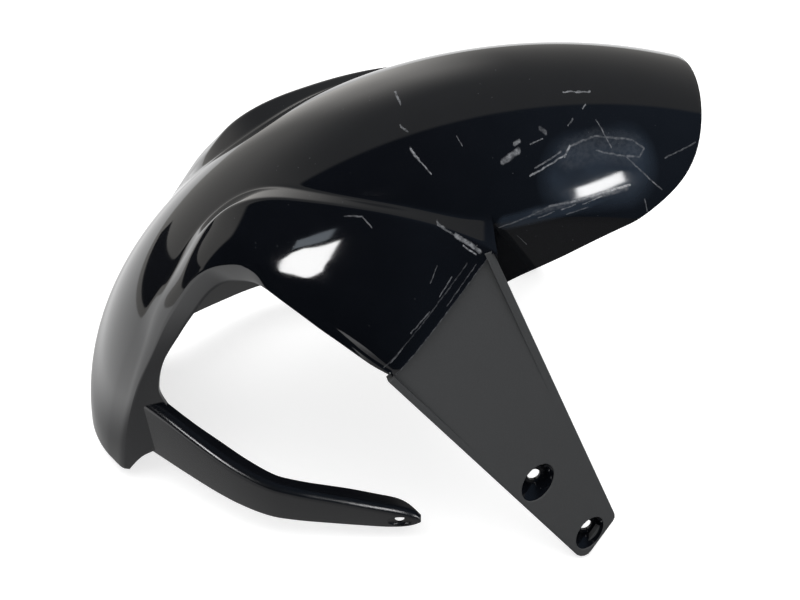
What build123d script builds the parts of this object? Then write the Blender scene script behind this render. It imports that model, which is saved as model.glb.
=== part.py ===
"""Motorcycle front mudguard: one moulding with an arch, two shoulders, two fork legs and two rear arms.
Millimetres. The origin is on the wheel axle in the middle plane, X forward, Y to the rider's left, Z up."""
import os
from math import cos, radians, sin

from build123d import *

os.makedirs("parts", exist_ok=True)

# arch over the tyre: its radius from the wheel axle, the bow across it, angles from the forward direction
wall = 3.0
crown_radius = 310.0
crown_bow = 75.0
bow_centre = crown_radius - crown_bow
front_angle = 72.2
corner_angle = 98.5
knee_angle = 128.0
tail_angle = 175.0
side_reach = 200.0

# heights below the crown circle are called drops, and a place round the bow is an angle from its top
# front skirt: place where it leaves the bow, half width and drop of its foot, lower edge as angle and drop
skirt_turn = 73.74
skirt_foot_half = 65.0
skirt_foot_drop = 120.0
skirt_edge = [(103.7, 120.6), (97, 106), (89, 89), (84, 71), (79, 50), (75.4, 32), (73.7, 17.3), (73.5, -2.9)]
skirt_cut = [(60, -20), (60, 200), (103.7, 200)]

# tail sections: angle, place of the valley round the bow, then half width and drop of ridge, rim and foot
tail_stations = [
    (tail_angle, 35.9, 55, 23.5, 58, 27.5, 58.5, 31),
    (171.5, 35.9, 55.5, 24, 58.5, 28, 60, 40),
    (168, 35.9, 56, 24.5, 59, 28.5, 61.5, 54),
    (162, 35.9, 56, 24.5, 59, 28, 61.5, 57),
    (156, 34.1, 54.5, 23, 58.5, 26.5, 60.5, 40),
    (150, 30.4, 51.5, 19.7, 58, 25, 60, 34),
    (144.5, 25.3, 46, 13, 57, 20, 60, 31.5),
    (139.5, 20.3, 38, 9.5, 57, 16, 60.5, 28.5),
    (134.5, 15.5, 31, 5.5, 57.5, 11.5, 61, 24.5),
    (knee_angle, 14.7, 33.5, -1.2, 62, 16, 63, 25),
]
# shoulder sections: the same, with a point part way down the flank in place of the rim
shoulder_stations = [
    (knee_angle, 14.7, 33.5, -1.2, 62, 16, 88, 61),
    (124, 16.3, 36.3, 0, 74, 29, 104, 96),
    (119, 23.6, 45.7, 9, 87, 52, 123, 115),
    (114, 34.1, 56, 21.3, 88.5, 56.5, 120, 111),
    (109, 43.9, 65.5, 31.5, 88.6, 58, 114, 100),
    (104, 54.4, 77.5, 42.5, 89.3, 57.5, 106, 87),
    (corner_angle, 61.6, 91, 58, 94, 63.5, 99, 74),
]
# share of the wall by which ridge and rim of the inner face stand back, across and down
ridge_back = (0.35, 1.1)
rim_back = (0.85, 0.55)
# lower edge of the flank as angle and drop: front corner, down the fold, back up the rim
flank_edge = [(98.7, 55.6), (118.3, 106.2), (124.25, 82.6), (126.4, 56.5), (127.5, 24), (128.05, 12.9)]
flank_cut = [(150, 12.9), (150, 240), (80, 240), (80, 55.6)]
# step wall at the front of the shoulder, half width and drop
step_outline = [(63, 39), (67, 46), (90, 58.5), (96.5, 104), (65.5, 107), (70.5, 57)]

# fork leg, right side: plane through the upper bolt hole, local x down the fork, local y forward
leg_hole = (-6.9, -129.9, crown_radius - 226.9)
leg_axis = (0.5981, -0.1123, -0.7935)
leg_normal = (0.1657, -0.9514, 0.2595)
leg_outline = [(-156.7, 77.9), (-130.8, -19.5), (80, -17), (65.5, 20)]
leg_depth = 7.5
leg_rim = 5.0
leg_web = 3.5
leg_sink = 4.0
leg_flush = -35.0
leg_tuck = 6.0
leg_round = 6.0
fold_gap = 12.0
corner_lap = 3.0
corner_trim = 2.0
fold_trim = 1.0
bolt_spacing = 62.0
bolt_hole_radius = 4.25
cup_long = (14.8, 13.4)
cup_short = (9.5, 8.2)
cup_turn = 121.0
cup_floor = 6.5
cup_depth = 9.0
cup_wall = 2.0

# rear arm, right side, from root to tip: distance forward of the crown circle's rear, y of the outer face,
# height of its low edge and top, flange width
arm_stations = [
    (40, -51.5, 47.5, 99, 11),
    (53, -61, 46, 96.5, 11.5),
    (66, -71, 44.5, 92, 11),
    (80, -81.5, 43, 84.5, 12.5),
    (94, -91.5, 41, 78.5, 14),
    (107, -100, 39.5, 72.5, 15),
    (121, -107.5, 38, 66.5, 15.5),
    (134, -112.5, 36.3, 62.3, 16),
    (153, -115.5, 34, 58.3, 16),
    (183, -118, 30.4, 51.5, 15.5),
    (210, -119.6, 27, 44.5, 15),
    (223, -120.5, 29.5, 41, 12),
    (229, -121, 33, 37.5, 8),
]
arm_wall = 3.0
arm_round = 6.0
arm_hole = (216, 34)
arm_hole_radius = 3.25


def radial(angle):
    """Plane through the axle line at this angle: local x is the width and local y the radius."""
    a = radians(angle)
    return Plane(origin=(0, 0, 0), x_dir=(0, 1, 0), z_dir=(sin(a), 0, -cos(a)))


def side_point(place):
    """Point in side view from its angle and its drop below the crown circle."""
    radius = crown_radius - place[1]
    return (radius * cos(radians(place[0])), radius * sin(radians(place[0])))


def bow(turn, inset):
    """Point of the round crown at this angle from its top, moved inward by the inset."""
    radius = crown_bow - inset
    return (radius * sin(radians(turn)), bow_centre + radius * cos(radians(turn)))


def flip(point):
    return (-point[0], point[1])


def half_section(station, inset):
    """Ridge, rim and foot of one side of a section, moved inward by the inset."""
    ridge = (station[2] - ridge_back[0] * inset, crown_radius - station[3] - ridge_back[1] * inset)
    rim = (station[4] - rim_back[0] * inset, crown_radius - station[5] - rim_back[1] * inset)
    foot = (station[6] - inset, crown_radius - station[7] - inset)
    return ridge, rim, foot


def crown_line(station, ridge, inset):
    """Curve over the tyre from ridge to ridge, through both valleys."""
    valley = bow(station[1], inset)
    down = (valley[1] - bow_centre, -valley[0])
    out = (ridge[0] - valley[0], ridge[1] - valley[1])
    ThreePointArc(flip(valley), (0, crown_radius - inset), valley)
    Spline(valley, ridge, tangents=(down, out))
    Spline(flip(valley), flip(ridge), tangents=(flip(down), flip(out)))


def filled_tail(inset):
    with BuildPart() as body:
        for station in tail_stations:
            ridge, rim, foot = half_section(station, inset)
            with BuildSketch(radial(station[0])):
                with BuildLine():
                    crown_line(station, ridge, inset)
                    Polyline(ridge, rim, foot, flip(foot), flip(rim), flip(ridge))
                make_face()
        loft()
    return body.part


def filled_shoulder(inset):
    with BuildPart() as body:
        for station in shoulder_stations:
            ridge, rim, foot = half_section(station, inset)
            with BuildSketch(radial(station[0])):
                with BuildLine():
                    crown_line(station, ridge, inset)
                    Spline(ridge, rim, foot)
                    Line(foot, flip(foot))
                    Spline(flip(foot), flip(rim), flip(ridge))
                make_face()
        loft()
    return body.part


with BuildPart() as tail:
    add(filled_tail(0))
    add(filled_tail(wall), mode=Mode.SUBTRACT)

with BuildPart() as shoulder:
    add(filled_shoulder(0))
    add(filled_shoulder(wall), mode=Mode.SUBTRACT)
    with BuildSketch(Plane.XZ):
        Polygon(*[side_point(place) for place in flank_edge + flank_cut], align=None)
    extrude(amount=side_reach, both=True, mode=Mode.SUBTRACT)

with BuildPart() as front:
    for inset, mode in ((0, Mode.ADD), (wall, Mode.SUBTRACT)):
        knuckle = bow(skirt_turn, inset)
        foot = (skirt_foot_half - inset, crown_radius - skirt_foot_drop - inset)
        with BuildSketch(radial(corner_angle)):
            with BuildLine():
                ThreePointArc(flip(knuckle), (0, crown_radius - inset), knuckle)
                Polyline(knuckle, foot, flip(foot), flip(knuckle))
            make_face()
        revolve(axis=Axis.Y, revolution_arc=corner_angle - front_angle, mode=mode)
    with BuildSketch(Plane.XZ):
        with BuildLine():
            Spline(*[side_point(place) for place in skirt_edge])
            Polyline(*[side_point(place) for place in skirt_edge[-1:] + skirt_cut + skirt_edge[:1]])
        make_face()
    extrude(amount=side_reach, both=True, mode=Mode.SUBTRACT)

with BuildPart() as step:
    with BuildSketch(radial(corner_angle)):
        Polygon(*[(-half, crown_radius - drop) for half, drop in step_outline], align=None)
    extrude(amount=-wall)

leg_plane = Plane(origin=leg_hole, x_dir=leg_axis, z_dir=leg_normal)
across_plane = Plane(origin=leg_hole, x_dir=leg_axis, z_dir=leg_plane.y_dir)
corner, fold_low = leg_outline[0], leg_outline[1]

# rim round the leg, open along the fold
with BuildPart() as leg:
    with BuildSketch(leg_plane):
        Polygon(*leg_outline, align=None)
        fillet(vertices().sort_by(Axis.X)[-2:], leg_round)
        offset(amount=-leg_rim, mode=Mode.SUBTRACT)
        Polygon(
            (corner[0] - fold_gap, corner[1] - corner_lap),
            (corner[0] + fold_gap, corner[1] - corner_lap - leg_rim),
            (fold_low[0] + fold_gap, fold_low[1] + leg_rim),
            (fold_low[0] - fold_gap, fold_low[1] + leg_rim),
            align=None,
            mode=Mode.SUBTRACT,
        )
    extrude(amount=-leg_depth)

# panel of the leg: sunk under the fold, level with the rim lower down
with BuildPart() as panel:
    with BuildSketch(leg_plane):
        Polygon(
            (corner[0] - leg_tuck, corner[1] - corner_trim),
            (fold_low[0] - leg_tuck, fold_low[1] + fold_trim),
            *leg_outline[2:],
            align=None,
        )
        fillet(vertices().sort_by(Axis.X)[-2:], leg_round)
    extrude(amount=-2 * leg_depth)
    top = corner[0] - 2 * leg_tuck
    end = leg_outline[2][0] + leg_tuck
    sink = leg_sink * (leg_flush - top) / (leg_flush - corner[0])
    with BuildSketch(across_plane):
        Polygon(
            (top, sink),
            (leg_flush, 0),
            (end, 0),
            (end, leg_web),
            (leg_flush, leg_web),
            (top, sink + leg_web),
            align=None,
        )
    extrude(amount=side_reach, both=True, mode=Mode.INTERSECT)

# bolt cups: a boss behind the panel, a dished cup in front and the bolt hole through its floor
with BuildPart() as bosses:
    for x, long, short in zip((0, bolt_spacing), cup_long, cup_short):
        with BuildSketch(leg_plane.offset(-leg_web / 2)):
            with Locations((x, 0)):
                Ellipse(long, short + cup_wall / 2, rotation=cup_turn)
        with BuildSketch(leg_plane.offset(-cup_depth - cup_wall)):
            with Locations((x, 0)):
                Circle(cup_floor + cup_wall)
        loft()

with BuildPart() as cups:
    for x, long, short in zip((0, bolt_spacing), cup_long, cup_short):
        with BuildSketch(leg_plane):
            with Locations((x, 0)):
                Ellipse(long, short, rotation=cup_turn)
        with BuildSketch(leg_plane.offset(-cup_depth)):
            with Locations((x, 0)):
                Circle(cup_floor)
        loft()
    with BuildSketch(leg_plane):
        with Locations((0, 0), (bolt_spacing, 0)):
            Circle(bolt_hole_radius)
    extrude(amount=-2 * cup_depth)

# rear arm: upright strap with a top flange turned in toward the wheel
with BuildPart() as arm:
    for i, (ahead, y, low, top, width) in enumerate(arm_stations):
        before = arm_stations[max(i - 1, 0)]
        after = arm_stations[min(i + 1, len(arm_stations) - 1)]
        along = Vector(after[0] - before[0], after[1] - before[1], 0).normalized()
        bend = min(arm_round, (top - low) / 2)
        across = (-along.Y, along.X, 0)
        with BuildSketch(Plane(origin=(ahead - crown_radius, y, 0), x_dir=across, z_dir=along)):
            with BuildLine():
                Polyline((0, top - bend), (0, low), (arm_wall, low), (arm_wall, top - arm_wall))
                Polyline((arm_wall, top - arm_wall), (width, top - arm_wall), (width, top), (bend, top))
                RadiusArc((bend, top), (0, top - bend), -bend)
            make_face()
    loft()
    with BuildSketch(Plane.XZ):
        with Locations((arm_hole[0] - crown_radius, arm_hole[1])):
            Circle(arm_hole_radius)
    extrude(amount=side_reach, mode=Mode.SUBTRACT)
    add(filled_tail(wall / 2), mode=Mode.SUBTRACT)

with BuildPart() as right:
    add(step.part)
    add(leg.part)
    add(panel.part)
    add(bosses.part)
    add(cups.part, mode=Mode.SUBTRACT)
    add(arm.part)

with BuildPart() as mudguard:
    add(front.part)
    add(shoulder.part)
    add(tail.part)
    add(right.part)
    mirror(right.part, about=Plane.XZ)

mudguard.part.label = "mudguard"
export_step(mudguard.part, "parts/mudguard.step")
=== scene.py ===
"""Motorcycle front mudguard: gloss black arch with flared shoulders, matte fork legs, rear stay arms."""
import math

import bmesh
import bpy
import numpy as np
from mathutils import Matrix, Vector


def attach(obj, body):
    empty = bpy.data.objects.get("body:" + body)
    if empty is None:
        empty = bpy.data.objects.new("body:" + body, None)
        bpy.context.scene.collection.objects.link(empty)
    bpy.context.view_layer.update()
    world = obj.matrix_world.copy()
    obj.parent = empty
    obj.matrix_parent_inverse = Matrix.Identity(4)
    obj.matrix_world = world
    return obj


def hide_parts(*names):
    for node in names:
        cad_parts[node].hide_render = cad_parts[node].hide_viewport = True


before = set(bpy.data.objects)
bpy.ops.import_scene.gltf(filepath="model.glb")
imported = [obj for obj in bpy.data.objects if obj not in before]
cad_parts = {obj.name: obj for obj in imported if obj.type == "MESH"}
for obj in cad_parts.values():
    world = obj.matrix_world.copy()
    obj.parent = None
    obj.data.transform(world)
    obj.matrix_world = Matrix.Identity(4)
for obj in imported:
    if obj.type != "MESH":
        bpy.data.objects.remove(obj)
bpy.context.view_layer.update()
MM = 0.001

# sizes of the moulding in millimetres about the wheel axle
CROWN = 310.0
BOW = 75.0
BOW_CENTRE = CROWN - BOW
WALL = 3.0
EDGE_ROUND = 0.8
KNUCKLE = 72.0
SKIRT_FOOT = (65.0, 190.0)
VALLEY = 70.0
LEAST_SIDE = 1.0

# places round the axle, in degrees from straight ahead
CORNER = 98.5
SEAM_LOW = 118.3
LIP_START = 118.6
KNEE = 128.0
TAIL = 175.0

# crown: angle, half width of the valley, half width and radius of the ridge
CROWN_STATIONS = [
    (CORNER, VALLEY, 91, 252), (101, VALLEY, 84.2, 258.8), (104, 67.8, 78.3, 265.3), (109, 62, 71, 277.2),
    (114, 54, 63, 287.9), (119, 42.5, 53.4, 298.7), (124, 29, 43.5, 309.2), (KNEE, 25.3, 39.5, 311.5),
    (131, 25.8, 37.2, 308), (134.5, 28.7, 36.2, 304.1), (139.5, 35.5, 41.5, 299.4),
    (144.5, 39.5, 46.5, 296.5), (150, 43, 51.5, 290.3), (156, 45, 54.5, 287), (162, 46.5, 56, 285.5),
    (168, 46.5, 56, 285.5), (TAIL, 46, 55, 286.5),
]
# shoulder: angle, half width and radius of the foot that the flank runs toward, and how far the flank bulges
FLANK_STATIONS = [
    (CORNER, 98, 238, 0.5), (105, 107.5, 220, 2.5), (112, 117, 204, 5.5), (SEAM_LOW, 121.5, 195.5, 9),
    (123, 112, 205, 12), (KNEE, 92, 240, 13),
]
# tail: angle, half width and radius of the rim, and how far the side bulges
TAIL_STATIONS = [
    (KNEE, 67.5, 288.5, 3), (134.5, 57.5, 298.5, 2), (139.5, 57, 294, 1.2), (144.5, 57, 290, 0.8),
    (150, 58, 285, 0.5), (156, 58.5, 283.5, 0.4), (162, 59, 282, 0.3), (168, 59, 281.5, 0.3),
    (TAIL, 58, 282.5, 0.3),
]
# lip and side wall under the rim: angle, step outward, step in radius
LIPS = [
    (SEAM_LOW, 0.8, -2.6), (119, 1.1, -3.4), (121, 3.3, -8.2), (123, 6.2, -13.1), (125, 8.8, -15.6),
    (127, 9.2, -12.7), (KNEE, 8.5, -10.5), (131, 5.5, -12), (134.5, 3.5, -13), (139.5, 3.5, -12.5),
    (144.5, 3, -11.5), (150, 2, -9), (156, 2, -13.5), (162, 2.5, -29), (168, 2.5, -25.5), (171.5, 1.5, -12),
    (TAIL, 0.5, -3.5),
]
# small ledge between rim and lip: height, its direction outward and up, and the angles over which it fades
LEDGE, LEDGE_WAY = 0.3, (0.85, 0.5)
LEDGE_END, LEDGE_FADE, LEDGE_STEEP = 131.0, 3.0, 5.0

# trimmed edges in side view: x and z
FLANK_EDGE = [
    (-38.5, 251.5), (-96.6, 179.4), (-114.8, 191.1), (-133.2, 205.1), (-152, 217.1), (-169.7, 225.3),
    (-181, 229.5),
]
SKIRT_EDGE = [
    (-45, 184), (-25, 202.5), (4, 221), (25, 237.7), (49.6, 255.2), (70, 269), (82, 281), (89, 300),
]
# plate between shoulder and skirt: half width and radius, and the radius at which its thickness is measured
STEP = [(63, 271), (67, 264), (88.5, 251.5), (93, 206), (65.5, 203), (70.5, 253)]
STEP_RADIUS = 250.0

# fineness of the surfaces: steps in millimetres, table steps a degree, then points, rows and columns
FINE, SKIRT_FINE, EDGE_FINE = 0.4, 0.5, 1.0
PER_DEGREE = 10
BOW_POINTS, KNUCKLE_POINTS, FLANK_POINTS, TAIL_POINTS = 120, 200, 300, 60
REAR_ROWS, FRONT_ROWS = 171, 40
MIDDLE, RISE, SIDE, LIP, SKIRT = 22, 20, 50, 8, 46
EDGE_SEGMENTS = 3
# powers that draw columns together at the ridge, and the distance within which points are merged
MIDDLE_POWER, SIDE_POWER = 1.6, 1.7
MERGE = 0.01

# angles between faces, in degrees, from which an edge is rounded or shown hard
ROUND_FROM, ARCH_SHARP, LEG_SHARP, ARM_SHARP = 55, 50, 35, 40

# softening, in points or rows, and where it eases in: start and run in degrees
CREASE_SOFT, CREASE_EASE = 3.0, 1.5
ROW_SOFT, ROW_EASE_FROM, ROW_EASE = 2.2, 119.5, 3.0
SKIRT_SOFT, SKIRT_EDGE_SOFT = 5, 10


def polar(points):
    """Angle in degrees and radius of side-view points."""
    p = np.array(points, float)
    return np.degrees(np.arctan2(p[:, 1], p[:, 0])), np.hypot(p[:, 0], p[:, 1])


def lengths(points):
    """Distance of each point along the polyline."""
    return np.concatenate([[0], np.cumsum(np.linalg.norm(np.diff(points, axis=0), axis=1))])


def densify(points, step):
    """The polyline with points every step along it."""
    p = np.array(points, float)
    s = lengths(p)
    t = np.linspace(0, s[-1], max(2, int(s[-1] / step) + 1))
    return np.stack([np.interp(t, s, column) for column in p.T], axis=1)


def resample(points, count, power=1.0):
    """The polyline as count points, evenly spaced along it, or closer at its start with a power above 1."""
    s = lengths(points)
    t = s[-1] * np.linspace(0, 1, count) ** power
    return np.stack([np.interp(t, s, column) for column in points.T], axis=1)


def soften(rows, sigma):
    """Gaussian smoothing along the first axis, in steps, with the end rows held."""
    reach = int(3 * sigma) + 1
    weight = np.exp(-0.5 * (np.arange(-reach, reach + 1) / sigma) ** 2)
    weight /= weight.sum()
    low = 2 * rows[:1] - rows[1 : reach + 1][::-1]
    high = 2 * rows[-1:] - rows[-reach - 1 : -1][::-1]
    padded = np.concatenate([low, rows, high])
    out = sum(w * padded[k : k + len(rows)] for k, w in enumerate(weight))
    out[0], out[-1] = rows[0], rows[-1]
    return out


def monotone(x, xs, ys):
    """Cubic interpolation through the points that doesn't overshoot."""
    h = np.diff(xs)
    d = np.diff(ys) / h
    m = np.zeros(len(xs))
    for i in range(1, len(xs) - 1):
        if d[i - 1] * d[i] > 0:
            a, b = 2 * h[i] + h[i - 1], h[i] + 2 * h[i - 1]
            m[i] = (a + b) / (a / d[i - 1] + b / d[i])
    m[0], m[-1] = d[0], d[-1]
    k = np.clip(np.searchsorted(xs, x) - 1, 0, len(h) - 1)
    t = (x - xs[k]) / h[k]
    return ((1 + 2 * t) * (1 - t) ** 2 * ys[k] + t * (1 - t) ** 2 * h[k] * m[k]
            + t * t * (3 - 2 * t) * ys[k + 1] + t * t * (t - 1) * h[k] * m[k + 1])


def table_of(stations, spread):
    """Function that gives the sizes at an angle, smoothed between the stations over the spread in degrees."""
    raw = np.array(stations, float)
    first, last = raw[0, 0], raw[-1, 0]
    fine = np.arange(first, last + 0.5 / PER_DEGREE, 1 / PER_DEGREE)
    fine[-1] = last
    rows = np.stack([monotone(fine, raw[:, 0], column) for column in raw.T[1:]], axis=1)
    rows = soften(rows, spread * PER_DEGREE)

    def sizes(angle):
        return np.array([np.interp(angle, fine, column) for column in rows.T])

    return sizes


crown_at = table_of(CROWN_STATIONS, spread=1.5)
flank_at = table_of(FLANK_STATIONS, spread=2.0)
tail_at = table_of(TAIL_STATIONS, spread=1.5)
flank_angle, flank_radius = polar(densify(FLANK_EDGE, EDGE_FINE))
skirt_angle, skirt_radius = polar(soften(densify(SKIRT_EDGE, EDGE_FINE), SKIRT_EDGE_SOFT))


def place(angle, half, radius):
    """Points in space from an angle round the axle, the place across and the radius."""
    a = np.radians(angle)
    return np.stack([radius * np.cos(a), half, radius * np.sin(a)], axis=-1)


def bow_line(half, count):
    """Round crown from the middle out to this half width: half width and radius."""
    a = np.linspace(0, math.asin(half / BOW), count)
    return np.stack([BOW * np.sin(a), BOW_CENTRE + BOW * np.cos(a)], axis=1)


def crown_columns(line):
    """Columns of the crown along its line from the middle out, closer together toward the ridge."""
    return resample(line[::-1], MIDDLE, MIDDLE_POWER)[::-1]


def bulged(a, b, height, count):
    """Bowed line from a to b that stands out by the height half way."""
    t = np.linspace(0, 1, count)[:, None]
    d = (b - a) / np.linalg.norm(b - a)
    return a + (b - a) * t + np.array([-d[1], d[0]]) * 4 * height * t * (1 - t)


def flank_line(angle, ridge):
    """Side of the shoulder at this angle, from the ridge down to the trimmed edge."""
    *foot, bulge = flank_at(angle)
    line = bulged(ridge, np.array(foot), bulge, FLANK_POINTS)
    edge = min(np.interp(angle, flank_angle, flank_radius), ridge[1] - LEAST_SIDE)
    last = max(int(np.argmin(line[:, 1] > edge)), 2)
    above, below = line[last - 1], line[last]
    end = above + (below - above) * (above[1] - edge) / (above[1] - below[1])
    return np.concatenate([line[:last], [end]])


def tail_line(angle, ridge):
    """Side of the tail at this angle, from the ridge down to the rim."""
    *rim, bulge = tail_at(angle)
    return bulged(ridge, np.array(rim), bulge, TAIL_POINTS)


def rear_section(angle):
    """Half section of the rear at this angle: crown, rise to the ridge and flank down to the rim."""
    valley, *ridge = crown_at(angle)
    ridge = np.array(ridge)
    crown = densify(bow_line(valley, BOW_POINTS), FINE)
    rise = densify([crown[-1], ridge], FINE)
    side = flank_line(angle, ridge) if angle < KNEE else tail_line(angle, ridge)
    line = np.concatenate([crown, rise[1:], densify(side, FINE)[1:]])
    low, high = len(crown) - 1, len(crown) + len(rise) - 2
    line = line + (soften(line, CREASE_SOFT) - line) * np.clip((angle - CORNER) / CREASE_EASE, 0, 1)
    return np.concatenate([crown_columns(line[: low + 1]), resample(line[low : high + 1], RISE)[1:],
                           resample(line[high:], SIDE, SIDE_POWER)[1:]])


def rear_sections(angles):
    """Half sections of the rear, softened from row to row behind the seam."""
    sections = np.array([rear_section(a) for a in angles])
    ease = np.clip((angles - ROW_EASE_FROM) / ROW_EASE, 0, 1)[:, None, None]
    return sections * (1 - ease) + soften(sections, ROW_SOFT) * ease


def lip_sections(angles, rims):
    """Half sections of the lip and side wall under the rim, from the seam's low end back to the tail."""
    stations = np.array(LIPS, float)
    steps = np.stack([monotone(angles, stations[:, 0], column) for column in stations.T[1:]], axis=1)
    depth = np.linspace(0, 1, LIP)[None, :, None]
    fade = np.clip((LEDGE_END - angles) / LEDGE_FADE, 0, 1)[:, None, None]
    ledge = LEDGE * fade * np.clip(depth * LEDGE_STEEP, 0, 1)
    return rims[:, None, :] + steps[:, None, :] * depth + ledge * LEDGE_WAY


def front_grid():
    """Right half of the front of the arch: crown and skirt, trimmed along the swept edge."""
    knuckle = bow_line(KNUCKLE, KNUCKLE_POINTS)
    skirt = np.concatenate([knuckle, densify([knuckle[-1], SKIRT_FOOT], SKIRT_FINE)[1:]])
    skirt = soften(densify(skirt, SKIRT_FINE), SKIRT_SOFT)
    below = skirt[int(np.argmax(skirt[:, 0] > VALLEY)) :]
    below = below[below[:, 1] > np.interp(CORNER, skirt_angle[::-1], skirt_radius[::-1])]
    crown = crown_columns(densify(bow_line(VALLEY, BOW_POINTS), FINE))
    half, radius = np.concatenate([crown, resample(below, SKIRT)[1:]]).T
    order = np.argsort(skirt_radius)
    edge_angle = np.interp(radius, skirt_radius[order], skirt_angle[order])
    angles = CORNER + (edge_angle - CORNER) * np.linspace(0, 1, FRONT_ROWS)[:, None]
    return place(angles, np.broadcast_to(-half, angles.shape), radius)


def grid_faces(rows, columns, start):
    """Quads of a grid of points whose first point has the number start."""
    i = np.arange(rows - 1)[:, None] * columns + np.arange(columns - 1)[None, :] + start
    return np.stack([i, i + 1, i + columns + 1, i + columns], axis=-1).reshape(-1, 4)


def both_sides(points, faces):
    """The points and faces with their mirror image on the other side of the middle plane."""
    points = np.asarray(points, float)
    n = len(points)
    mirrored = [[n + i for i in f[::-1]] for f in faces]
    return np.concatenate([points, points * [1, -1, 1]]), list(faces) + mirrored


def arch_surface():
    """Points and faces of the arch's outer surface: rear, lip and front."""
    angles = np.linspace(CORNER, TAIL, REAR_ROWS)
    sections = rear_sections(angles)
    under = angles > LIP_START
    lips = lip_sections(angles[under], sections[under, -1])
    grids = [place(angles[:, None], -sections[..., 0], sections[..., 1]),
             place(angles[under, None], -lips[..., 0], lips[..., 1]), front_grid()]
    faces, start = [], 0
    for grid in grids:
        rows, columns = grid.shape[:2]
        faces += [list(f) for f in grid_faces(rows, columns, start)]
        start += rows * columns
    return both_sides(np.concatenate([grid.reshape(-1, 3) for grid in grids]), faces)


def build_mesh(name, points, faces, merge=0.0, kinds=None):
    """Mesh from points in millimetres, with close points merged and normals made consistent."""
    mesh = bpy.data.meshes.new(name)
    mesh.from_pydata((np.asarray(points) * MM).tolist(), [], [list(map(int, f)) for f in faces])
    if kinds:
        mesh.polygons.foreach_set("material_index", kinds)
    work = bmesh.new()
    work.from_mesh(mesh)
    if merge:
        bmesh.ops.remove_doubles(work, verts=work.verts, dist=merge * MM)
    bmesh.ops.dissolve_degenerate(work, edges=work.edges, dist=1e-7)
    bmesh.ops.recalc_face_normals(work, faces=work.faces)
    work.to_mesh(mesh)
    work.free()
    return mesh


def add_object(name, mesh, material):
    """Object in the scene with one material."""
    o = bpy.data.objects.new(name, mesh)
    bpy.context.scene.collection.objects.link(o)
    mesh.materials.append(material)
    return o


def settle(o):
    """Replaces the object's mesh with the shape its modifiers give."""
    bpy.context.view_layer.update()
    shaped = bpy.data.meshes.new_from_object(o.evaluated_get(bpy.context.evaluated_depsgraph_get()))
    o.modifiers.clear()
    o.data = shaped


def shade(o, angle):
    """Smooth shading, with edges sharper than the angle kept hard."""
    o.data.polygons.foreach_set("use_smooth", [True] * len(o.data.polygons))
    o.data.set_sharp_from_angle(angle=math.radians(angle))


def feed(tree, socket, value):
    """Gives an input its value: a link from another socket, or a plain value."""
    if isinstance(value, bpy.types.NodeSocket):
        tree.links.new(value, socket)
    elif value is not None:
        socket.default_value = value


def wire(tree, kind, operation, values):
    """Adds a math node whose inputs are sockets or plain values, and gives its output."""
    node = tree.nodes.new(kind)
    node.operation = operation
    for socket, value in zip(node.inputs, values):
        feed(tree, socket, value)
    return node.outputs["Value"] if operation in ("DOT_PRODUCT", "LENGTH") else node.outputs[0]


def scalar(tree, operation, *values):
    """Adds a math node on numbers, and gives its output."""
    return wire(tree, "ShaderNodeMath", operation, values)


def vector(tree, operation, *values):
    """Adds a math node on vectors, and gives its output."""
    return wire(tree, "ShaderNodeVectorMath", operation, values)


def mix(tree, share, first, second):
    """Adds a mix of two colours, each a socket or red, green and blue, and gives its output."""
    node = tree.nodes.new("ShaderNodeMix")
    node.data_type = "RGBA"
    for socket, value in zip((node.inputs[0], node.inputs[6], node.inputs[7]), (share, first, second)):
        feed(tree, socket, (*value, 1) if isinstance(value, tuple) else value)
    return node.outputs[2]


def span(tree, value, low, high, to_low=0.0, to_high=1.0, way="SMOOTHSTEP"):
    """Adds a step of a value from one range to another, smooth or linear, and gives its output."""
    node = tree.nodes.new("ShaderNodeMapRange")
    node.interpolation_type = way
    for name, number in zip(("From Min", "From Max", "To Min", "To Max"), (low, high, to_low, to_high)):
        node.inputs[name].default_value = number
    tree.links.new(value, node.inputs["Value"])
    return node.outputs["Result"]


def noise(tree, where, scale, detail):
    """Adds a noise texture, and gives its node."""
    node = tree.nodes.new("ShaderNodeTexNoise")
    node.inputs["Scale"].default_value = scale
    node.inputs["Detail"].default_value = detail
    tree.links.new(where, node.inputs["Vector"])
    return node


def axes(tree, where):
    """Splits a vector into its x, y and z."""
    node = tree.nodes.new("ShaderNodeSeparateXYZ")
    tree.links.new(where, node.inputs[0])
    return node.outputs


def either(tree, share, first, second):
    """Adds a mix of two shaders, and gives its output."""
    node = tree.nodes.new("ShaderNodeMixShader")
    for socket, value in zip(node.inputs, (share, first, second)):
        tree.links.new(value, socket)
    return node.outputs[0]


# paint: base colour of gloss and satin, how far the colour varies, and the height of the grain in metres
BLACK = (0.003, 0.0035, 0.005)
DARKER, LIGHTER = 0.8, 1.2
GRAIN_HEIGHT = 0.0002


def paint(name, base, rough, grain, bump):
    """Black plastic whose colour, roughness and surface vary a little from place to place."""
    m = bpy.data.materials.new(name)
    m.use_nodes = True
    tree = m.node_tree
    bsdf = tree.nodes["Principled BSDF"]
    where = tree.nodes.new("ShaderNodeTexCoord").outputs["Object"]
    patches = noise(tree, where, scale=grain, detail=6).outputs["Fac"]
    colour = mix(tree, patches, tuple(c * DARKER for c in base), tuple(c * LIGHTER for c in base))
    tree.links.new(colour, bsdf.inputs["Base Color"])
    tree.links.new(span(tree, patches, 0, 1, *rough, way="LINEAR"), bsdf.inputs["Roughness"])
    lift = tree.nodes.new("ShaderNodeBump")
    lift.inputs["Strength"].default_value = bump
    lift.inputs["Distance"].default_value = GRAIN_HEIGHT
    tree.links.new(patches, lift.inputs["Height"])
    tree.links.new(lift.outputs["Normal"], bsdf.inputs["Normal"])
    return m


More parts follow.
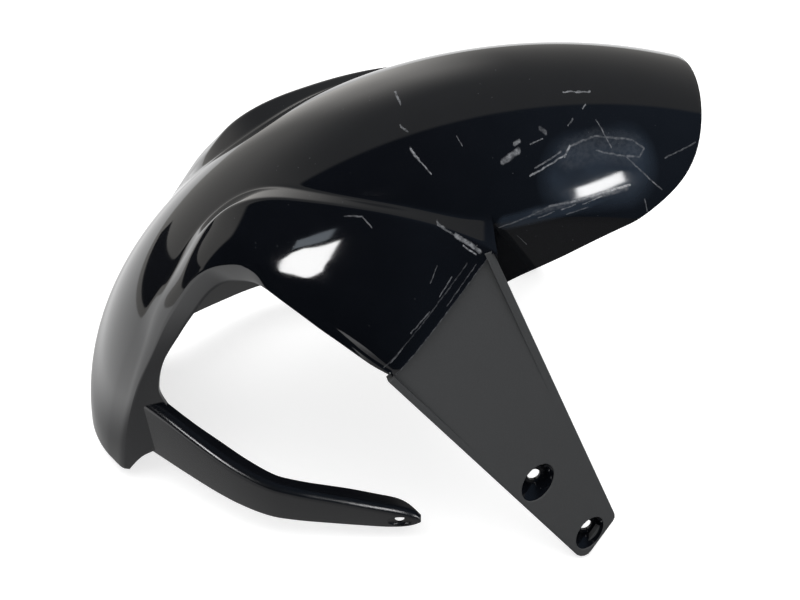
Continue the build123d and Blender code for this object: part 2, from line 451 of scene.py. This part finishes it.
gloss = paint("gloss_black", BLACK, rough=(0.03, 0.07), grain=60, bump=0.0)
matte = paint("matte_black", (0.045, 0.0465, 0.048), rough=(0.55, 0.7), grain=900, bump=0.25)
satin = paint("satin_black", BLACK, rough=(0.17, 0.24), grain=60, bump=0.0)
inside = paint("inside_black", (0.010, 0.0105, 0.011), rough=(0.32, 0.45), grain=500, bump=0.15)

# scuffs and painted highlights on the right side, in side view: strength, half width in millimetres, then x
# and z along the line
SCUFFS_AND_HIGHLIGHTS = [
    (0.75, 0.7, [(-83, 286), (-79, 283)]), (0.6, 0.4, [(-79, 283), (-72, 278)]),
    (0.5, 1.6, [(-32, 285), (-23, 289.5)]), (0.45, 0.9, [(-25, 292), (-22, 293)]),
    (0.4, 0.35, [(-16, 292), (-9, 294)]), (0.7, 0.5, [(-17, 279), (4, 288)]),
    (0.4, 0.45, [(-14, 282.5), (1, 289)]), (0.7, 0.7, [(3, 287), (6, 291)]),
    (0.28, 0.5, [(6, 291), (21, 294), (42, 291), (49, 287), (46, 284), (38, 285), (21, 288.5)]),
    (0.35, 0.35, [(22, 299), (25, 296), (30, 289)]), (0.3, 0.4, [(38, 285), (59, 268)]),
    (0.25, 0.35, [(61, 282), (80, 285)]), (0.35, 0.6, [(-34, 251), (-20, 257), (-6, 263.5)]),
    (0.45, 0.8, [(-6, 263.5), (9, 266), (26, 270), (40, 272)]), (0.4, 0.4, [(-12, 257), (-3, 260.5)]),
    (0.5, 0.5, [(1, 261.5), (9, 264)]), (0.4, 0.4, [(13, 264), (24, 267.5)]),
    (0.3, 0.4, [(4, 258.5), (16, 262)]), (0.6, 1.3, [(-60, 255), (-52, 252), (-47, 249)]),
    (0.8, 0.5, [(-56, 251), (-49, 247.5)]), (0.35, 0.45, [(-70, 259), (-60, 255)]),
    (0.35, 0.4, [(-63, 236), (-70, 226)]), (0.35, 0.45, [(-76, 218), (-87, 206)]),
    (0.4, 0.45, [(-92, 197), (-99, 188)]), (0.3, 0.35, [(-71, 241), (-75, 233)]),
    (0.35, 0.4, [(-122, 259), (-112, 260), (-107, 256)]), (0.4, 0.35, [(-90, 297), (-87, 296.5)]),
    (0.35, 0.4, [(-88, 292), (-84, 291)]), (0.45, 0.18, [(5, 307), (21, 306.3)]),
    (0.4, 0.3, [(17, 303.5), (15, 302.5)]), (0.35, 0.35, [(9, 300), (6, 298)]),
    (0.25, 1.0, [(-10, 297.5), (-7, 296)]), (0.35, 0.4, [(49, 264), (51, 257)]),
    (0.3, 0.35, [(-23, 243), (-17, 235)]), (0.3, 0.3, [(-57, 293), (-54, 290)]),
    # painted highlight: the first stroke on this line is the thin bright line along the seam's edge
    (0.35, 0.35, [(-42, 247), (-96, 180.5)]), (0.15, 0.4, [(-54, 243), (-103, 184)]),
    # the last stroke on this line is scuffed paint with a painted pale sheen round the front highlight
    (0.2, 0.35, [(-49, 243), (-66, 221)]), (0.05, 7.5, [(5, 287), (21, 290), (42, 287)]),
    (0.12, 2.0, [(-14, 260), (9, 266), (38, 271)]),
]
# rubbed, duller paint with a painted faintly blue sheen round and under the front highlight: half width in
# millimetres, then two points in side view
RUB_SHEEN = [(20.0, (6, 277), (38, 278)), (6.0, (-30, 254), (36, 271))]
# pale tone of the scuffs and painted highlights, their roughness, and the waver of their lines
SCUFF_AND_HIGHLIGHT_TONE, SCUFF_ROUGH, WAVER = (0.3, 0.31, 0.33), 0.55, 1.1
# tone of the painted sheen, and the roughness that the rubbed paint adds
RUB_SHEEN_TONE, RUB_SHEEN_ROUGH = (0.026, 0.036, 0.052), 0.03
DUST_SCALE, DUST_SIZE, DUST_FROM, DUST_LEVEL = 170, 0.05, 0.53, 0.12


def stroke_group():
    """Node group that is 1 on the line between two points and fades to 0 at the half width."""
    tree = bpy.data.node_groups.new("stroke", "ShaderNodeTree")
    for name, kind in (("Place", "Vector"), ("From", "Vector"), ("To", "Vector"), ("Width", "Float")):
        tree.interface.new_socket(name, in_out="INPUT", socket_type="NodeSocket" + kind)
    tree.interface.new_socket("Mask", in_out="OUTPUT", socket_type="NodeSocketFloat")
    given, result = tree.nodes.new("NodeGroupInput"), tree.nodes.new("NodeGroupOutput")
    place_at, start_at, end_at, width = given.outputs[:4]
    gone = vector(tree, "SUBTRACT", place_at, start_at)
    run = vector(tree, "SUBTRACT", end_at, start_at)
    gone_along = vector(tree, "DOT_PRODUCT", gone, run)
    share = scalar(tree, "DIVIDE", gone_along, vector(tree, "DOT_PRODUCT", run, run))
    share.node.use_clamp = True
    off = vector(tree, "SUBTRACT", gone, vector(tree, "SCALE", run, None, None, share))
    near = scalar(tree, "SUBTRACT", 1.0, scalar(tree, "DIVIDE", vector(tree, "LENGTH", off), width))
    mask = scalar(tree, "MULTIPLY", near, 2.0)
    mask.node.use_clamp = True
    tree.links.new(mask, result.inputs[0])
    return tree


def dust(tree, where):
    """Adds fine specks of dust in some places, and gives their level."""
    cells = tree.nodes.new("ShaderNodeTexVoronoi")
    cells.inputs["Scale"].default_value = DUST_SCALE
    tree.links.new(where, cells.inputs["Vector"])
    speck = scalar(tree, "LESS_THAN", cells.outputs["Distance"], DUST_SIZE)
    clouds = noise(tree, where, scale=25, detail=3).outputs["Fac"]
    dusty = scalar(tree, "GREATER_THAN", clouds, DUST_FROM)
    return scalar(tree, "MULTIPLY", scalar(tree, "MULTIPLY", speck, dusty), DUST_LEVEL)


def scuff_and_sheen(m):
    """Adds scuffs, haze and dust to a gloss material: pale and rough where the paint is worn. The haze and
    some strokes are painted highlight and sheen, along the seam and round the front highlight.
    """
    tree = m.node_tree
    bsdf = tree.nodes["Principled BSDF"]
    where = tree.nodes.new("ShaderNodeTexCoord").outputs["Object"]
    shake = noise(tree, where, scale=300, detail=4).outputs["Color"]
    shift = vector(tree, "SUBTRACT", shake, (0.5, 0.5, 0.5))
    shift = vector(tree, "MULTIPLY", shift, (WAVER * MM, 0, WAVER * MM))
    flat = vector(tree, "ADD", vector(tree, "MULTIPLY", where, (1, 0, 1)), shift)
    group = stroke_group()

    def stroke(start_at, end_at, half):
        """Mask of one stroke between two points in side view."""
        node = tree.nodes.new("ShaderNodeGroup")
        node.node_tree = group
        tree.links.new(flat, node.inputs["Place"])
        for name, (x, z) in (("From", start_at), ("To", end_at)):
            node.inputs[name].default_value = (x * MM, 0, z * MM)
        node.inputs["Width"].default_value = half * MM
        return node.outputs["Mask"]

    right_side = scalar(tree, "LESS_THAN", axes(tree, where)["Y"], -MM)
    worn_and_lit = rub_sheen = None
    for strength, half, line in SCUFFS_AND_HIGHLIGHTS:
        for start_at, end_at in zip(line[:-1], line[1:]):
            level = scalar(tree, "MULTIPLY", stroke(start_at, end_at, half), strength)
            worn_and_lit = scalar(tree, "MAXIMUM", worn_and_lit, level) if worn_and_lit else level
    for half, start_at, end_at in RUB_SHEEN:
        level = stroke(start_at, end_at, half)
        rub_sheen = scalar(tree, "MAXIMUM", rub_sheen, level) if rub_sheen else level
    worn_and_lit = scalar(tree, "MULTIPLY", worn_and_lit, right_side)
    rub_sheen = scalar(tree, "MULTIPLY", rub_sheen, right_side)
    rub_sheen = scalar(tree, "MULTIPLY", rub_sheen, noise(tree, where, scale=45, detail=5).outputs["Fac"])
    grain = noise(tree, where, scale=480, detail=4).outputs["Fac"]
    patchy = span(tree, grain, low=0.36, high=0.62, to_low=0.3, way="LINEAR")
    worn_and_lit = scalar(tree, "MULTIPLY", worn_and_lit, patchy)
    worn_and_lit = scalar(tree, "MAXIMUM", worn_and_lit, dust(tree, where))
    # painted sheen: a pale bluish tone over the rubbed paint round the front highlight
    sheened_base = mix(tree, rub_sheen, bsdf.inputs["Base Color"].links[0].from_socket, RUB_SHEEN_TONE)
    # scuffs and painted highlights take the pale tone
    tree.links.new(mix(tree, worn_and_lit, sheened_base, SCUFF_AND_HIGHLIGHT_TONE), bsdf.inputs["Base Color"])
    rough = tree.nodes.new("ShaderNodeMix")
    tree.links.new(worn_and_lit, rough.inputs[0])
    paint_rough = bsdf.inputs["Roughness"].links[0].from_socket
    tree.links.new(scalar(tree, "MULTIPLY_ADD", rub_sheen, RUB_SHEEN_ROUGH, paint_rough), rough.inputs[2])
    rough.inputs[3].default_value = SCUFF_ROUGH
    tree.links.new(rough.outputs[0], bsdf.inputs["Roughness"])


scuff_and_sheen(gloss)


def make_arch():
    """Arch: the outer surface thickened inward, with its edges rounded."""
    o = add_object("arch", build_mesh("arch", *arch_surface(), MERGE), gloss)
    o.data.materials.append(inside)
    if sum(p.normal.dot(p.center) for p in o.data.polygons) < 0:
        o.data.flip_normals()
    thick = o.modifiers.new("wall", "SOLIDIFY")
    thick.thickness = WALL * MM
    thick.offset = -1
    thick.material_offset = 1
    edges = o.modifiers.new("edges", "BEVEL")
    edges.width = EDGE_ROUND * MM
    edges.segments = EDGE_SEGMENTS
    edges.angle_limit = math.radians(ROUND_FROM)
    settle(o)
    shade(o, ARCH_SHARP)
    return o


def make_steps():
    """Plates that close the shoulders' front ends against the skirt."""
    half, radius = np.array(STEP, float).T
    n = len(STEP)
    ends = (CORNER, CORNER + math.degrees(WALL / STEP_RADIUS))
    points = np.concatenate([place(angle, -half, radius) for angle in ends])
    faces = [list(range(n)), list(range(n, 2 * n))[::-1]]
    faces += [[i, (i + 1) % n, n + (i + 1) % n, n + i] for i in range(n)]
    return add_object("steps", build_mesh("steps", *both_sides(points, faces)), gloss)


class Patch:
    """Collects points and faces of one piece."""

    def __init__(self):
        self.points, self.faces, self.kinds = [], [], []

    def add(self, points):
        """Adds points and gives their numbers."""
        first = sum(len(p) for p in self.points)
        self.points.append(np.asarray(points, float).reshape(-1, 3))
        return np.arange(first, first + len(self.points[-1]))

    def strip(self, rows, closed=False, kind=0):
        """Quads between rows of points of the same length."""
        ids = [self.add(r) for r in rows]
        for p, q in zip(ids[:-1], ids[1:]):
            n = len(p)
            for i in range(n if closed else n - 1):
                j = (i + 1) % n
                self.faces.append([p[i], p[j], q[j], q[i]])
                self.kinds.append(kind)

    def fill(self, loops):
        """Flat face with holes: the first loop is the outline, the others are holes."""
        work = bmesh.new()
        for loop in loops:
            verts = [work.verts.new(p) for p in loop]
            for i in range(len(verts)):
                work.edges.new((verts[i], verts[(i + 1) % len(verts)]))
        bmesh.ops.triangle_fill(work, use_beauty=True, edges=work.edges[:])
        work.verts.index_update()
        ids = self.add([v.co[:] for v in work.verts])
        self.faces += [[ids[v.index] for v in f.verts] for f in work.faces]
        self.kinds += [0] * len(work.faces)
        work.free()


# fork leg: its upper bolt hole, and the directions down along its outer face, out of it and forward in it
HOLE = np.array([-6.9, -129.9, 83.1])
DOWN = np.array([0.5981, -0.1123, -0.7935])
OUT = np.array([0.1657, -0.9514, 0.2595])
DOWN /= np.linalg.norm(DOWN)
FORE = np.cross(OUT, DOWN)
FORE /= np.linalg.norm(FORE)

# outline of the leg's face from the upper hole, down and forward: rear edge, rounded tips, front edge
LEG_REAR = [(-130.8, -19.5), (72.8, -17.1)]
LEG_TIPS = [(80, -17), (65.5, 20)]
LEG_FRONT = [(58.3, 21.9), (-156.7, 77.9)]
LEG_POINTS, LEG_STEP, TIP_ROUND = 160, 6, 6.0

# rim round the leg: width, depth and rounding, and the thickness of the web inside it
RIM, DEPTH, RIM_ROUND, WEB = 5.0, 7.5, 2.0, 3.5
# panel: where it starts to sink, how deep it ends, how it curves, and how far it is tucked under the shoulder
FLUSH, SINK, SINK_POWER, TUCK = -35.0, 4.0, 1.7, 6.0
PANEL_ROWS, PANEL_COLUMNS = 40, 12
# cups: place down the leg, half length and half width of the oval, then what both share
CUPS = [(0.0, 14.8, 9.5), (62.0, 13.4, 8.2)]
CUP_TURN, CUP_LIP, CUP_FLOOR, CUP_DEPTH, CUP_WALL, BOLT = 121.0, 0.9, 6.5, 9.0, 2.0, 4.25
CUP_POINTS, CUP_ROWS, CUP_FLARE, CUP_SLOPE, CUP_BACK = 48, 7, 0.8, 1.1, 1.0
# first row of a cup that is gloss, and the quarter turn of the leg's rounded edges
CUP_GLOSS = 3
ROLL = np.radians(np.linspace(0, 90, 5))


def leg_point(down, fore, out):
    """Points in space from distances down, forward and out of the leg's face."""
    down, fore, out = (np.asarray(v, float)[..., None] for v in np.broadcast_arrays(down, fore, out))
    return HOLE + down * DOWN + fore * FORE + out * OUT


def rounded(corner, before, after, radius, count=7):
    """Arc that rounds a corner of an outline."""
    p, u, v = np.array(corner, float), np.array(before, float), np.array(after, float)
    u, v = (u - p) / np.linalg.norm(u - p), (v - p) / np.linalg.norm(v - p)
    half = math.acos(np.clip(u @ v, -1, 1)) / 2
    centre = p + (u + v) / np.linalg.norm(u + v) * radius / math.sin(half)
    a, b = p + u * radius / math.tan(half) - centre, p + v * radius / math.tan(half) - centre
    turn = np.linspace(0, 1, count)[:, None]
    arc = a * (1 - turn) + b * turn
    return centre + arc / np.linalg.norm(arc, axis=1)[:, None] * radius


def inset(path, amount):
    """The leg's outline moved into the leg by the amount."""
    d = np.gradient(path, axis=0)
    d /= np.linalg.norm(d, axis=1)[:, None]
    return path + amount * np.stack([-d[:, 1], d[:, 0]], axis=1)


def leg_edge():
    """Outline of the leg's face, from the fold down round the tips and up to the front corner."""
    low, fore = LEG_TIPS
    line = [densify(LEG_REAR, LEG_STEP)[:-1], rounded(low, LEG_REAR[0], fore, TIP_ROUND),
            rounded(fore, low, LEG_FRONT[-1], TIP_ROUND), densify(LEG_FRONT, LEG_STEP)[1:]]
    return resample(np.concatenate(line), LEG_POINTS)


def sunk(line):
    """How deep the panel lies along a line, as distances out of the leg's face."""
    return -SINK * np.clip((FLUSH - line[:, 0]) / (FLUSH - LEG_FRONT[-1][0]), 0, None) ** SINK_POWER


def add_cup(patch, down, long, short):
    """Adds an oval cup with a bolt hole in its floor. Gives its loops in the leg's face and back."""
    around = np.linspace(0, 2 * math.pi, CUP_POINTS, endpoint=False)
    cos, sin = math.cos(math.radians(CUP_TURN)), math.sin(math.radians(CUP_TURN))

    def oval(p, q, out):
        x, y = p * np.cos(around), q * np.sin(around)
        return leg_point(down + x * cos - y * sin, x * sin + y * cos, out)

    rows = []
    for t in ROLL:
        wider = CUP_LIP * (1 - math.sin(t))
        rows.append(oval(long + wider, short + wider, -CUP_LIP * (1 - math.cos(t))))
    for k in np.linspace(0, 1, CUP_ROWS)[1:]:
        shape = k ** CUP_FLARE
        rows.append(oval(long + (CUP_FLOOR - long) * shape, short + (CUP_FLOOR - short) * shape,
                         -CUP_LIP - (CUP_DEPTH - CUP_LIP) * k ** CUP_SLOPE))
    rows.append(oval(BOLT, BOLT, -CUP_DEPTH))
    rows.append(oval(BOLT, BOLT, -CUP_DEPTH - CUP_WALL))
    rows.append(oval(CUP_FLOOR + CUP_WALL, CUP_FLOOR + CUP_WALL, -CUP_DEPTH - CUP_WALL))
    back = oval(long, short + CUP_BACK, -WEB)
    patch.strip(rows[: CUP_GLOSS + 1], closed=True)
    patch.strip(rows[CUP_GLOSS:], closed=True, kind=1)
    patch.strip([rows[-1], back], closed=True)
    return oval(long + CUP_LIP, short + CUP_LIP, 0), back


def leg_patch():
    """One fork leg: rim, two cups, flush foot and sunk panel."""
    patch = Patch()
    edge = leg_edge()
    face, inner = inset(edge, RIM_ROUND), inset(edge, RIM)
    rings = []
    for t in ROLL:
        ring = inset(edge, RIM_ROUND * (1 - math.sin(t)))
        rings.append(leg_point(*ring.T, -RIM_ROUND * (1 - math.cos(t))))
    rings += [leg_point(*edge.T, -DEPTH), leg_point(*inner.T, -DEPTH), leg_point(*inner.T, -WEB)]
    patch.strip(rings)
    holes, backs = zip(*[add_cup(patch, *cup) for cup in CUPS])

    # rims beside the sunk panel, each ending where the flush foot starts
    flush = face[:, 0] > FLUSH
    rear_half = np.arange(LEG_POINTS) < LEG_POINTS // 2
    panel_sides = []
    for half, order, end in ((rear_half, 1, 0), (~rear_half, -1, -1)):
        outer = np.concatenate([face[~flush & half][::order], [face[flush][end]]])
        side = np.concatenate([inner[~flush & half][::order], [inner[flush][end]]])
        patch.strip([leg_point(*outer.T, 0), leg_point(*side.T, 0), leg_point(*side.T, sunk(side))])
        side = resample(side, PANEL_ROWS)
        panel_sides.append(np.concatenate([[side[0] - [TUCK, 0]], side]))

    rows = []
    for k in np.linspace(0, 1, PANEL_COLUMNS):
        line = panel_sides[0] * (1 - k) + panel_sides[1] * k
        rows.append(leg_point(*line.T, sunk(line)))
    patch.strip(rows)
    patch.strip([r - WEB * OUT for r in rows])
    patch.fill([np.concatenate([leg_point(*face[flush].T, 0), [r[-1] for r in rows[::-1]]]), *holes])
    for end in (0, -1):
        patch.fill([np.array([r[end] for r in rings] + [leg_point(*inner[end], 0)])])
    patch.fill([leg_point(*inner[flush].T, -WEB), *backs])
    return np.concatenate(patch.points), patch.faces, patch.kinds


def make_legs():
    """Both fork legs, matte with gloss in the cups."""
    points, faces, kinds = leg_patch()
    o = add_object("legs", build_mesh("legs", *both_sides(points, faces), MERGE, kinds * 2), matte)
    o.data.materials.append(gloss)
    shade(o, LEG_SHARP)
    o.modifiers.new("flats", "WEIGHTED_NORMAL").keep_sharp = True
    settle(o)
    return o


# rear arm, from its root in the tail to its tip: x, y of the outer face, low edge, top, flange width
ARM = [
    (-280, -44, 46, 80, 8), (-270, -51.5, 45.5, 98, 11), (-257, -61, 43.5, 96, 11),
    (-244, -71, 41.8, 92, 10.5), (-230, -81.5, 40, 86, 11), (-216, -91.5, 38, 80.5, 12),
    (-203, -100, 36.7, 75.5, 12), (-189, -107.5, 35.5, 71, 11.5), (-176, -112.5, 34.3, 67.5, 10.5),
    (-157, -115.5, 33, 63, 10.8), (-127, -118, 30, 55, 12), (-105, -119.4, 27.4, 48.5, 11.5),
    (-95, -119.9, 27, 45.5, 11.5), (-88, -120.4, 28, 43, 9), (-83, -120.8, 30.2, 40.5, 5),
    (-80, -121, 32.8, 37.5, 3.4),
]
ARM_WALL, ARM_ROUND, ARM_ROUND_POINTS, LEAST_FLANGE = 3.0, 6.0, 8, 1.0
ARM_FINE, ARM_SOFT = 2.5, 1.8
LOW_CHAMFER, FLANGE_CHAMFER, INNER_CHAMFER = 0.6, 0.4, 0.5
# screw hole at the arm's tip: its middle, mirrored for the other arm, and half sizes of the dimple round it
ARM_HOLE, ARM_HOLE_RADIUS, DRILL_DEPTH = (-94.0, 120.0, 34.0), 3.25, 20.0
DIMPLE = (8.5, 2.4, 4.8)


def arm_profile(low, top, width):
    """Closed section of the arm, as distances inward from its outer face, and heights."""
    bend = min(ARM_ROUND, (top - low) / 2)
    turn = np.linspace(0, math.pi / 2, ARM_ROUND_POINTS)
    arc = [(bend - bend * math.cos(t), top - bend + bend * math.sin(t)) for t in turn]
    web = min(ARM_WALL, width - LEAST_FLANGE)
    return [(LOW_CHAMFER, low), (0, low + LOW_CHAMFER), *arc, (width - FLANGE_CHAMFER, top),
            (width, top - FLANGE_CHAMFER), (width, top - web), (web + INNER_CHAMFER, top - web),
            (web, top - web - INNER_CHAMFER), (web, low)]


def arm_patch():
    """One rear arm: an angled section swept along its line, with closed ends."""
    line = soften(densify(ARM, ARM_FINE), ARM_SOFT)
    along = np.gradient(line[:, :2], axis=0)
    along /= np.linalg.norm(along, axis=1)[:, None]
    rows = []
    for (x, y, low, top, width), (ahead, across) in zip(line, along):
        rows.append([(x - p * across, y + p * ahead, z) for p, z in arm_profile(low, top, width)])
    patch = Patch()
    patch.strip(rows, closed=True)
    patch.fill([rows[0]])
    patch.fill([rows[-1]])
    return np.concatenate(patch.points), patch.faces


def hole_cutter():
    """Dimple and screw hole at each arm's tip, as one object to cut with."""
    work = bmesh.new()
    radius = ARM_HOLE_RADIUS * MM
    for side in (-1, 1):
        spot = Matrix.Translation(Vector((ARM_HOLE[0], side * ARM_HOLE[1], ARM_HOLE[2])) * MM)
        shape = spot @ Matrix.Diagonal((*[d * MM for d in DIMPLE], 1))
        bmesh.ops.create_uvsphere(work, u_segments=32, v_segments=16, radius=1, matrix=shape)
        drill = spot @ Matrix.Rotation(math.pi / 2, 4, "X")
        bmesh.ops.create_cone(work, cap_ends=True, segments=32, radius1=radius, radius2=radius,
                              depth=DRILL_DEPTH * MM, matrix=drill)
    mesh = bpy.data.meshes.new("cutter")
    work.to_mesh(mesh)
    work.free()
    return add_object("cutter", mesh, gloss)


def make_arms():
    """Both rear arms, with a dimple and a screw hole in each tip."""
    o = add_object("arms", build_mesh("arms", *both_sides(*arm_patch()), MERGE), satin)
    cutter = hole_cutter()
    cut = o.modifiers.new("holes", "BOOLEAN")
    cut.operation, cut.solver, cut.use_self, cut.object = "DIFFERENCE", "EXACT", True, cutter
    settle(o)
    bpy.data.objects.remove(cutter)
    shade(o, ARM_SHARP)
    return o


shell = make_arch()
step = make_steps()
legs = make_legs()
arms = make_arms()

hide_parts("mudguard")
finishes = ((shell, "gloss_black"), (step, "gloss_black"), (legs, "matte_black"), (arms, "gloss_black"))
for piece, finish in finishes:
    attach(piece, "root")

# pale sheet that the part lies on: its edges and height in metres, its tone, and its glow to the camera
FLOOR_LEFT, FLOOR_RIGHT, FLOOR_NEAR, FLOOR_FAR, FLOOR_HEIGHT = -0.95, 0.75, -0.6, 1.3, 0.012
FLOOR_GREY, FLOOR_GLOW = 0.6, 0.65


def pale_sheet():
    """Near white to the camera, with the part's shadow. The gloss mirrors it dimmer on the near side."""
    m = bpy.data.materials.new("pale_floor")
    m.use_nodes = True
    tree = m.node_tree
    nodes, links = tree.nodes, tree.links
    bsdf = nodes["Principled BSDF"]
    bsdf.inputs["Base Color"].default_value = (FLOOR_GREY, FLOOR_GREY, FLOOR_GREY, 1)
    bsdf.inputs["Roughness"].default_value = 0.9
    bsdf.inputs["Specular IOR Level"].default_value = 0.0
    bsdf.inputs["Emission Color"].default_value = (1, 1, 1, 1)
    ray = nodes.new("ShaderNodeLightPath").outputs
    links.new(scalar(tree, "MULTIPLY", ray["Is Camera Ray"], FLOOR_GLOW), bsdf.inputs["Emission Strength"])
    where = axes(tree, nodes.new("ShaderNodeTexCoord").outputs["Object"])
    x, y = where["X"], where["Y"]
    dim = scalar(tree, "MULTIPLY", span(tree, x, -0.12, 0.0), span(tree, y, -0.12, -0.02, 0.72, 0.0))
    far, left = span(tree, y, -0.05, 0.35, 0.5, 1.25), span(tree, x, -0.32, -0.42, 0.5, 1.7)
    pale = scalar(tree, "MAXIMUM", far, left)
    level = scalar(tree, "MULTIPLY", pale, scalar(tree, "SUBTRACT", 1.0, dim))
    shine = nodes.new("ShaderNodeEmission")
    links.new(level, shine.inputs["Strength"])
    seen = either(tree, ray["Is Glossy Ray"], bsdf.outputs[0], shine.outputs[0])
    links.new(seen, nodes["Material Output"].inputs["Surface"])
    return m


floor_corners = [
    (FLOOR_LEFT, FLOOR_NEAR, FLOOR_HEIGHT), (FLOOR_RIGHT, FLOOR_NEAR, FLOOR_HEIGHT),
    (FLOOR_RIGHT, FLOOR_FAR, FLOOR_HEIGHT), (FLOOR_LEFT, FLOOR_FAR, FLOOR_HEIGHT),
]
floor_mesh = bpy.data.meshes.new("floor")
floor_mesh.from_pydata(floor_corners, [], [(0, 1, 2, 3)])
floor = add_object("floor", floor_mesh, pale_sheet())

# room around the part: the lean of the line that parts its two sides, and the strength of its soft light
SIDES_LEAN = (-0.24, 1.0, 0.0)
SOFT_LIGHT = 0.55
WHITE = (1, 1, 1)


def background(tree, colour, strength=1.0):
    """Adds a background of one colour, given as a socket or red, green and blue, and gives its output."""
    node = tree.nodes.new("ShaderNodeBackground")
    feed(tree, node.inputs["Color"], (*colour, 1) if isinstance(colour, tuple) else colour)
    node.inputs["Strength"].default_value = strength
    return node.outputs[0]


def room():
    """White to the camera, soft white light on matt surfaces, and in reflections a room that is dark on the
    camera's side and pale on the far side and overhead."""
    world = bpy.data.worlds.new("room")
    bpy.context.scene.world = world
    world.use_nodes = True
    tree = world.node_tree
    tree.nodes.clear()
    way = tree.nodes.new("ShaderNodeTexCoord").outputs["Generated"]
    lean = vector(tree, "DOT_PRODUCT", way, SIDES_LEAN)
    parts = axes(tree, way)
    x, z = parts["X"], parts["Z"]
    camera_side = mix(tree, span(tree, x, -0.5, 0.6), (0.006, 0.010, 0.014), (0.085, 0.12, 0.17))
    low_wall = mix(tree, span(tree, x, -0.55, -0.3), (0.85, 0.83, 0.79), (1.5, 1.46, 1.4))
    low_wall = mix(tree, span(tree, x, -0.2, 0.08), low_wall, (0.42, 0.41, 0.39))
    far_side = mix(tree, span(tree, z, 0.3, 0.8), low_wall, (0.34, 0.34, 0.325))
    tone = mix(tree, span(tree, lean, 0.03, 0.09), camera_side, far_side)
    ray = tree.nodes.new("ShaderNodeLightPath").outputs
    unseen = either(tree, ray["Is Glossy Ray"], background(tree, WHITE, SOFT_LIGHT), background(tree, tone))
    seen = either(tree, ray["Is Camera Ray"], unseen, background(tree, WHITE))
    tree.links.new(seen, tree.nodes.new("ShaderNodeOutputWorld").inputs["Surface"])


def overhead_light():
    """Soft square light above the part that the gloss doesn't mirror."""
    data = bpy.data.lights.new("overhead", "AREA")
    data.shape = "RECTANGLE"
    data.size = data.size_y = 2.2
    data.energy = 44
    o = bpy.data.objects.new("overhead", data)
    o.location = (-0.1, 0.1, 1.9)
    o.visible_glossy = False
    bpy.context.scene.collection.objects.link(o)


room()
overhead_light()

# panes that only show in the gloss: name, strength, colour and corners in metres
PANES = [
    ("window_left", 24, WHITE, [
        (-1.67, -1.75, 1.31), (-1.63, -1.71, 1.41), (-1.53, -1.72, 1.52), (-1.29, -1.8, 1.63),
        (-1.3, -1.94, 1.43), (-1.37, -2.02, 1.21), (-1.54, -2.03, 0.94), (-1.59, -1.98, 1.0),
        (-1.65, -1.9, 1.08)]),
    ("window_left_top", 3, (0.8, 0.9, 1.0), [
        (-1.64, -1.67, 1.46), (-1.6, -1.59, 1.6), (-1.43, -1.62, 1.72), (-1.35, -1.66, 1.74),
        (-1.36, -1.735, 1.655), (-1.53, -1.69, 1.55)]),
    ("window_right", 24, WHITE, [
        (0.53, -2.38, 1.05), (0.93, -1.98, 1.61), (0.92, -2.17, 1.28), (0.53, -2.49, 0.62)]),
    # dark card to the left, seen only in the gloss, that paints a dark reflected patch in the tail
    ("dark_reflection_card", 0.03, WHITE, [
        (-1.25, -0.15, 0.0), (-1.25, 0.85, 0.0), (-1.25, 0.85, 0.1), (-1.25, -0.15, 0.33)]),
]


def pane(name, strength, colour, corners):
    """Flat pane of even brightness that only shows in the gloss."""
    mesh = bpy.data.meshes.new(name)
    mesh.from_pydata(corners, [], [list(range(len(corners)))])
    glow = bpy.data.materials.new(name)
    glow.use_nodes = True
    nodes = glow.node_tree.nodes
    nodes.clear()
    shine = nodes.new("ShaderNodeEmission")
    shine.inputs["Color"].default_value = (*colour, 1)
    shine.inputs["Strength"].default_value = strength
    out = nodes.new("ShaderNodeOutputMaterial")
    glow.node_tree.links.new(shine.outputs[0], out.inputs["Surface"])
    o = add_object(name, mesh, glow)
    o.visible_camera = o.visible_diffuse = o.visible_shadow = False


for one in PANES:
    pane(*one)

# the photo's camera, fitted to the outline: its place in metres, and the directions of its right, up and back
EYE = (-0.12467, -0.62403, 0.76801)
EYE_RIGHT = (0.998135, -0.061049, 0.0)
EYE_UP = (0.043915, 0.717998, 0.694658)
EYE_BACK = (-0.042408, -0.693363, 0.719340)
cam_data = bpy.data.cameras.new("camera")
cam_data.lens = 59.74
cam_data.sensor_width = 36
cam_data.sensor_fit = "HORIZONTAL"
cam_data.clip_start = 0.01
camera = bpy.data.objects.new("camera", cam_data)
bpy.context.scene.collection.objects.link(camera)
turn = Matrix((EYE_RIGHT, EYE_UP, EYE_BACK)).transposed().to_4x4()
camera.matrix_world = Matrix.Translation(EYE) @ turn
bpy.context.scene.camera = camera
bpy.context.scene.view_settings.view_transform = "Standard"
